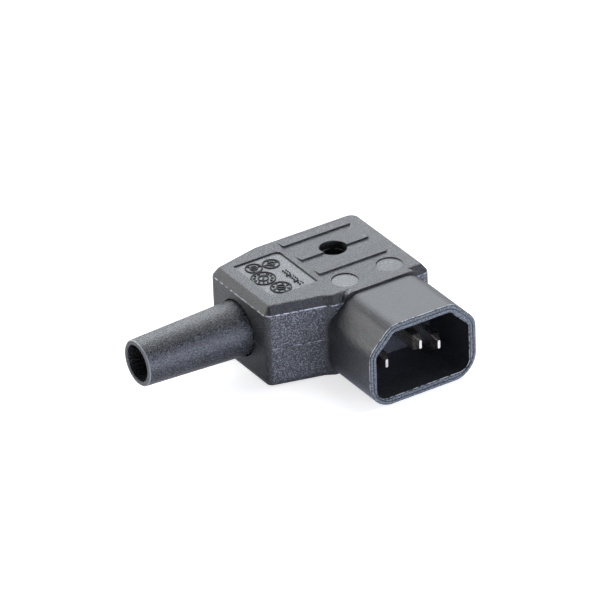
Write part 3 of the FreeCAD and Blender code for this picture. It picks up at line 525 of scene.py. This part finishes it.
# The rim's pale, bluish salt is painted sheen for the bright table it mirrors.
painted_light = add_node(tree, "ShaderNodeMix", {
    "Factor": salting.outputs["Result"], "A": linear("#2b3035"), "B": linear("#747d84"),
}, data_type="RGBA")
banded = add_node(tree, "ShaderNodeMix", {
    "Factor": rim.outputs[0], "A": skin.outputs["Result"], "B": painted_light.outputs["Result"],
}, data_type="RGBA")
# Painted shade darkens the fine groove.
groove = add_node(tree, "ShaderNodeMath", {0: depth, 1: GROOVE_DEPTH, 2: GROOVE_REACH}, operation="COMPARE")
groove_shaded = add_node(tree, "ShaderNodeMix", {
    "Factor": groove.outputs[0], "A": banded.outputs["Result"], "B": linear("#0f1012"),
}, data_type="RGBA")
# A painted highlight runs along both edges of the rim.
edge = add_node(tree, "ShaderNodeMath", {0: depth, 1: EDGE_DEPTH, 2: EDGE_REACH}, operation="COMPARE")
highlighted = add_painted_highlight(
    tree, place, edge.outputs[0], groove_shaded.outputs["Result"],
    patch=0.9 * MM, detail=2.0, gaps=(0.38, 0.55),
)
tree.links.new(highlighted, shader.inputs["Base Color"])
print("scuffed band", round(RIM_BAND / MM, 2), "mm deep")

# %% [markdown]
# ### The cable sleeve: grained soft polymer
#
# The sleeve bends with the cable, so it is a softer grade than the housing. Its tool was sand blasted. The
# grain is nearly as deep as the shells', but the skin is glossier and its crests are darker, so it sparkles
# only along the line that faces the light. A pale line is painted round the edge of its mouth as a painted
# highlight.

# %% The sleeve's material
MOUTH_DEPTH = 0.17 * MM
MOUTH_REACH = 0.12 * MM

sleeve, tree, shader, place, skin = grained_plastic(
    "soft_grained_polymer", pit="#141517", crest="#5c5f66",
    grain=0.34 * MM, depth=0.15 * MM, roughness=(0.22, 0.34),
)
sleeve_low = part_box("cable_sleeve")[0]
along = add_node(tree, "ShaderNodeSeparateXYZ", {"Vector": place}).outputs["X"]
mouth = add_node(tree, "ShaderNodeMath", {
    0: along, 1: sleeve_low.x + MOUTH_DEPTH, 2: MOUTH_REACH,
}, operation="COMPARE")
# A pale line painted round the mouth's edge is a painted highlight.
mouth_highlight = add_node(tree, "ShaderNodeMix", {
    "Factor": mouth.outputs[0], "A": skin.outputs["Result"], "B": linear("#8f9399"),
}, data_type="RGBA")
tree.links.new(mouth_highlight.outputs["Result"], shader.inputs["Base Color"])
print("mouth of the sleeve at x =", round(sleeve_low.x / MM, 1), "mm")

# %% [markdown]
# ### The inner mouldings: glass-filled polyamide
#
# The terminal retainer and the cord clamp are never seen on a closed plug. They are moulded plain,
# with a third of glass fibre, and such a skin shows pale swirls where the melt flowed. A noise
# stretched along one direction gives the flow, and no grain is needed.

# %% The inner mouldings' material
FLOW_LENGTH = 2.5 * MM
FLOW_WIDTH = 0.5 * MM
FLOW = Vector((1 / FLOW_WIDTH, 1 / FLOW_LENGTH, 1 / FLOW_WIDTH))

inner_moulding, tree, output = new_material("glass_filled_polyamide")
place = add_node(tree, "ShaderNodeTexCoord").outputs["Object"]
stretched = add_node(tree, "ShaderNodeVectorMath", {0: place, 1: FLOW}, operation="MULTIPLY")
swirl = add_node(tree, "ShaderNodeTexNoise", {
    "Vector": stretched.outputs["Vector"], "Scale": 1.0, "Detail": 4.0, "Distortion": 0.8,
})
fibres = add_node(tree, "ShaderNodeMapRange", {
    "Value": swirl.outputs["Fac"], "From Min": 0.35, "From Max": 0.7,
})
colour = add_node(tree, "ShaderNodeMix", {
    "Factor": fibres.outputs["Result"], "A": linear("#2e2f31"), "B": linear("#4f5053"),
}, data_type="RGBA")
dullness = add_node(tree, "ShaderNodeMapRange", {
    "Value": swirl.outputs["Fac"], "To Min": 0.42, "To Max": 0.62,
})
relief = add_node(tree, "ShaderNodeBump", {"Height": swirl.outputs["Fac"], "Distance": 0.03 * MM})
shader = add_node(tree, "ShaderNodeBsdfPrincipled", {
    "Base Color": colour.outputs["Result"], "Roughness": dullness.outputs["Result"],
    "IOR": 1.55, "Normal": relief.outputs["Normal"],
})
tree.links.new(shader.outputs[0], output.inputs["Surface"])
print("flow lines", round(FLOW_LENGTH / MM, 1), "mm long")

# %% [markdown]
# ### The blades: nickel-plated brass
#
# A blade is stamped from drawn brass strip and then plated with nickel. The strip's drawing lines
# run along the blade and stay visible through the thin plating. They blur what the metal mirrors
# across the blade, and leave it sharper along the blade. The nickel is a warm grey. The lines are
# drawn as a noise that is stretched along Y. Real ones are finer than a hundredth of a millimetre,
# so these are drawn more than ten times as coarse to show at all.

# %% The blades' material
LINE_LENGTH = 6.0 * MM
LINE_WIDTH = 0.12 * MM
TARNISH_SIZE = 3.0 * MM
DRAWN = Vector((1 / LINE_WIDTH, 1 / LINE_LENGTH, 1 / LINE_WIDTH))

nickel, tree, output = new_material("nickel_plated_brass")
place = add_node(tree, "ShaderNodeTexCoord").outputs["Object"]
stretched = add_node(tree, "ShaderNodeVectorMath", {0: place, 1: DRAWN}, operation="MULTIPLY")
drawing = add_node(tree, "ShaderNodeTexNoise", {
    "Vector": stretched.outputs["Vector"], "Scale": 1.0, "Detail": 3.0,
})
tarnish = add_node(tree, "ShaderNodeTexNoise", {"Vector": place, "Scale": 1 / TARNISH_SIZE, "Detail": 3.0})
warmth = add_node(tree, "ShaderNodeMapRange", {
    "Value": tarnish.outputs["Fac"], "From Min": 0.4, "From Max": 0.7,
})
colour = add_node(tree, "ShaderNodeMix", {
    "Factor": warmth.outputs["Result"], "A": linear("#cfcbc4"), "B": linear("#b9b1a4"),
}, data_type="RGBA")
satin = add_node(tree, "ShaderNodeMapRange", {
    "Value": drawing.outputs["Fac"], "From Min": 0.3, "From Max": 0.7, "To Min": 0.2, "To Max": 0.34,
})
relief = add_node(tree, "ShaderNodeBump", {"Height": drawing.outputs["Fac"], "Distance": 0.004 * MM})
shader = add_node(tree, "ShaderNodeBsdfPrincipled", {
    "Base Color": colour.outputs["Result"], "Roughness": satin.outputs["Result"],
    "Metallic": 1.0, "Normal": relief.outputs["Normal"],
})
tree.links.new(shader.outputs[0], output.inputs["Surface"])
print("drawing lines", round(LINE_WIDTH / MM, 2), "mm wide")

# %% [markdown]
# ### The screws and the nut: zinc-plated steel
#
# Barrel-plated screws have a bright bluish zinc skin with cloudy patches, because each one
# shadowed others in the bath, and a fine orange-peel texture. One cloud noise drives the colour and
# the gloss together, and a finer one is the bump.

# %% The screws' material
CLOUD_SIZE = 1.4 * MM
PEEL_SIZE = 0.25 * MM

zinc, tree, output = new_material("zinc_plated_steel")
place = add_node(tree, "ShaderNodeTexCoord").outputs["Object"]
cloud = add_node(tree, "ShaderNodeTexNoise", {"Vector": place, "Scale": 1 / CLOUD_SIZE, "Detail": 3.0})
colour = add_node(tree, "ShaderNodeMix", {
    "Factor": cloud.outputs["Fac"], "A": linear("#9fa5ac"), "B": linear("#c9cccf"),
}, data_type="RGBA")
clouding = add_node(tree, "ShaderNodeMapRange", {
    "Value": cloud.outputs["Fac"], "To Min": 0.26, "To Max": 0.48,
})
peel = add_node(tree, "ShaderNodeTexNoise", {"Vector": place, "Scale": 1 / PEEL_SIZE, "Detail": 2.0})
relief = add_node(tree, "ShaderNodeBump", {"Height": peel.outputs["Fac"], "Distance": 0.02 * MM})
shader = add_node(tree, "ShaderNodeBsdfPrincipled", {
    "Base Color": colour.outputs["Result"], "Roughness": clouding.outputs["Result"],
    "Metallic": 1.0, "Normal": relief.outputs["Normal"],
})
tree.links.new(shader.outputs[0], output.inputs["Surface"])
print("zinc clouds of", round(CLOUD_SIZE / MM, 1), "mm")

# %% [markdown]
# ## Give every CAD piece its finish
#
# The CAD pieces keep their meshes and only get a material. The list names each of the nineteen
# pieces once, so a piece that is forgotten stops the script with its name.

# %% Assign the finishes
FINISHES = {
    "upper_shell": housing,
    "lower_shell": housing,
    "pin_carrier": carrier,
    "cable_sleeve": sleeve,
    "terminal_retainer": inner_moulding,
    "cord_clamp": inner_moulding,
    "line_pin": nickel,
    "neutral_pin": nickel,
    "earth_pin": nickel,
    "line_wire_plate": nickel,
    "neutral_wire_plate": nickel,
    "earth_wire_plate": nickel,
    "line_terminal_screw": zinc,
    "neutral_terminal_screw": zinc,
    "earth_terminal_screw": zinc,
    "cord_clamp_screw_1": zinc,
    "cord_clamp_screw_2": zinc,
    "housing_screw": zinc,
    "housing_nut": zinc,
}
for name, node in nodes.items():
    node.data.materials.clear()
    node.data.materials.append(FINISHES[name])
print(len(nodes), "pieces finished with", len(set(FINISHES.values())), "materials")

# %% [markdown]
# ## The moulded marks
#
# A mould maker sets small round inserts in the sunk field. They print the date dials of the mould:
# a ring with figures inside it and a pointer that is turned each month, and smaller ones for the
# year, the shift and the cavity. A row of raised dots counts the repairs of the tool. The marks
# stand a fifth of a millimetre proud, and they look black on the bright field.
#
# They could be painted on with a texture, but then they would cast no shadow and would go soft in
# close views. They are modelled: a ring is a tapered section spun round, a bar is a cube with a
# narrower top, and a dot is a blunt cone. Each stands on a foot that is sunk a little into the
# field, so that no gap shows under it.

# %% Helpers for raised strokes
FIELD_DEPTH = 0.35 * MM
SINK = 0.03 * MM
RISE = 0.2 * MM
STROKE = 0.42 * MM
BAR_TAPER = 0.67
DOT_TAPER = 0.75
field = top_face - FIELD_DEPTH
foot = field - SINK
middle = (foot + field + RISE) / 2


def add_ring(shape, centre, radius, stroke=STROKE):
    """A raised circle: a tapered section spun round an upright axis."""
    section = (
        (radius - stroke / 2, foot),
        (radius + stroke / 2, foot),
        (radius + stroke / 3, field + RISE),
        (radius - stroke / 3, field + RISE),
    )
    corners = [shape.verts.new((centre.x + across, centre.y, up)) for across, up in section]
    sides = [shape.edges.new((corners[i - 1], corners[i])) for i in range(4)]
    bmesh.ops.spin(
        shape, geom=corners + sides, cent=(centre.x, centre.y, 0), axis=(0, 0, 1),
        angle=math.tau, steps=48, use_merge=True,
    )


def add_bar(shape, centre, length, turn, stroke=STROKE):
    """A raised bar whose top is two thirds as wide as its foot."""
    corners = bmesh.ops.create_cube(shape, size=1.0)["verts"]
    for corner in corners:
        if corner.co.z > 0:
            corner.co.y *= BAR_TAPER
    size = Matrix.Diagonal((length, stroke, RISE + SINK, 1))
    spot = Matrix.Translation((centre.x, centre.y, middle))
    bmesh.ops.transform(shape, verts=corners, matrix=spot @ Matrix.Rotation(turn, 4, "Z") @ size)


def add_dot(shape, centre, radius):
    """A raised dot: a blunt cone."""
    spot = Matrix.Translation((centre.x, centre.y, middle))
    bmesh.ops.create_cone(
        shape, cap_ends=True, segments=16, radius1=radius, radius2=radius * DOT_TAPER,
        depth=RISE + SINK, matrix=spot,
    )


print("field at", round(field / MM, 2), "mm")

# %% [markdown]
# A figure is a line of type. It is made a mesh first, and only then set in its place, because a
# piece keeps its place in its mesh. It is a little bolder than plain type, as cut figures are.

# %% A helper for raised figures
BOLDER = 0.02


def add_figure(shape, words, centre, size, turn):
    """A raised figure: type made a mesh, then set in its place."""
    curve = bpy.data.curves.new("figure", "FONT")
    curve.body = words
    curve.size = size
    curve.extrude = (RISE + SINK) / 2
    curve.offset = size * BOLDER
    curve.resolution_u = 3
    curve.align_x = "CENTER"
    curve.align_y = "CENTER"
    holder = bpy.data.objects.new("figure", curve)
    mesh = bpy.data.meshes.new_from_object(holder)
    spot = Matrix.Translation((centre.x, centre.y, middle))
    mesh.transform(spot @ Matrix.Rotation(turn, 4, "Z"))
    shape.from_mesh(mesh)
    bpy.data.objects.remove(holder)
    bpy.data.curves.remove(curve)
    bpy.data.meshes.remove(mesh)


print("figures stand", round(RISE / MM, 2), "mm proud")

# %% [markdown]
# A set of strokes and figures becomes one piece. Spinning a section leaves double points and can
# turn its faces inside out, so the doubles are merged and then the normals are recalculated. The
# count of open edges tells whether every stroke is closed.

# %% A helper that finishes a piece
MERGE_WITHIN = 0.0005 * MM


def finish_piece(name, shape, material):
    """The shape as a closed piece at the origin that rides on the plug."""
    bmesh.ops.remove_doubles(shape, verts=shape.verts, dist=MERGE_WITHIN)
    bmesh.ops.recalc_face_normals(shape, faces=shape.faces)
    open_edges = [edge for edge in shape.edges if len(edge.link_faces) != 2]
    mesh = bpy.data.meshes.new(name)
    shape.to_mesh(mesh)
    shape.free()
    mesh.materials.append(material)
    piece = bpy.data.objects.new(name, mesh)
    bpy.context.scene.collection.objects.link(piece)
    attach(piece, "root")
    print(name, "has", len(mesh.polygons), "faces and", len(open_edges), "open edges")


print("points closer than", round(MERGE_WITHIN / MM, 4), "mm are merged")

# %% [markdown]
# The marks lie sunk below the top. They carry no pale specks, and their charcoal is painted darker than the
# shells' own as painted shade, so that they read black on the bright field. A soft noise of half a
# millimetre in colour and gloss keeps them from looking like ink.

# %% The marks' material
WAVE_SIZE = 0.5 * MM

mark_plastic, tree, output = new_material("shade_darkened_polyamide")
place = add_node(tree, "ShaderNodeTexCoord").outputs["Object"]
wave = add_node(tree, "ShaderNodeTexNoise", {"Vector": place, "Scale": 1 / WAVE_SIZE, "Detail": 2.0})
# The near-black colour of the marks is painted shade.
colour = add_node(tree, "ShaderNodeMix", {
    "Factor": wave.outputs["Fac"], "A": linear("#0b0c0d"), "B": linear("#17181a"),
}, data_type="RGBA")
sheen = add_node(tree, "ShaderNodeMapRange", {
    "Value": wave.outputs["Fac"], "To Min": 0.65, "To Max": 0.85,
})
relief = add_node(tree, "ShaderNodeBump", {"Height": wave.outputs["Fac"], "Distance": 0.02 * MM})
shader = add_node(tree, "ShaderNodeBsdfPrincipled", {
    "Base Color": colour.outputs["Result"], "Roughness": sheen.outputs["Result"],
    "IOR": 1.53, "Normal": relief.outputs["Normal"],
})
tree.links.new(shader.outputs[0], output.inputs["Surface"])
print("marks are", mark_plastic.name)

# %% [markdown]
# The dials are laid out from the field's middle, which lies a fixed way in from the shell's corner.
# Each dial is its own piece, and its figures stand upright seen from the dial's middle. The hub,
# the pointer and the ring of figures are given as shares of the dial's radius.

# %% Set the date dials
FIELD_IN_X = 9.95 * MM
FIELD_IN_Y = 14.05 * MM
HUB = 0.42
POINTER = 0.7
FIGURE_RING = 0.72
HUB_STROKE = STROKE * 0.8
POINTER_STROKE = STROKE * 1.2

field_middle = Vector((shell_low.x + FIELD_IN_X, shell_high.y - FIELD_IN_Y))
# Each dial's name, place and radius in mm, count of figures, their size in mm, and where it points.
DIALS = (
    ("month_dial", Vector((-2.6, 0.25)), 2.75, 12, 0.85, 50),
    ("year_dial", Vector((-1.5, -5.4)), 2.35, 8, 0.9, -35),
    ("shift_dial", Vector((-2.0, 5.2)), 1.9, 3, 0.9, 160),
    ("cavity_dial", Vector((2.25, 4.65)), 1.9, 4, 0.9, 100),
)

for name, offset, radius, count, size, pointing in DIALS:
    shape = bmesh.new()
    centre = field_middle + offset * MM
    radius *= MM
    add_ring(shape, centre, radius)
    add_ring(shape, centre, radius * HUB, HUB_STROKE)
    turn = math.radians(pointing)
    add_bar(shape, centre, radius * POINTER, turn, POINTER_STROKE)
    for number in range(count):
        around = math.radians(-360 * number / count)
        spoke = Vector((math.cos(around), math.sin(around)))
        stand = centre + spoke * radius * FIGURE_RING
        add_figure(shape, str(number + 1), stand, size * MM, around - math.pi / 2)
    finish_piece(name, shape, mark_plastic)

# %% [markdown]
# The repair marks stand in one row along the field's right side: pairs of dots, one large and one
# small, in groups of three with a bar between the groups.

# %% Set the row of repair marks
ROW_X = 2.75 * MM
ROW_START = 0.4 * MM
ROW_STEP = 0.78 * MM
ROW_COUNT = 10
GROUP = 4
BAR_LENGTH = 1.3 * MM
PAIR_GAP = 0.8 * MM
LARGE_DOT = 0.27 * MM
SMALL_DOT = 0.2 * MM

shape = bmesh.new()
for number in range(ROW_COUNT):
    centre = field_middle + Vector((ROW_X, ROW_START - number * ROW_STEP))
    if number % GROUP == GROUP - 1:
        add_bar(shape, centre, BAR_LENGTH, 0.0)
    else:
        add_dot(shape, centre, LARGE_DOT)
        add_dot(shape, centre + Vector((PAIR_GAP, 0)), SMALL_DOT)
finish_piece("repair_marks", shape, mark_plastic)
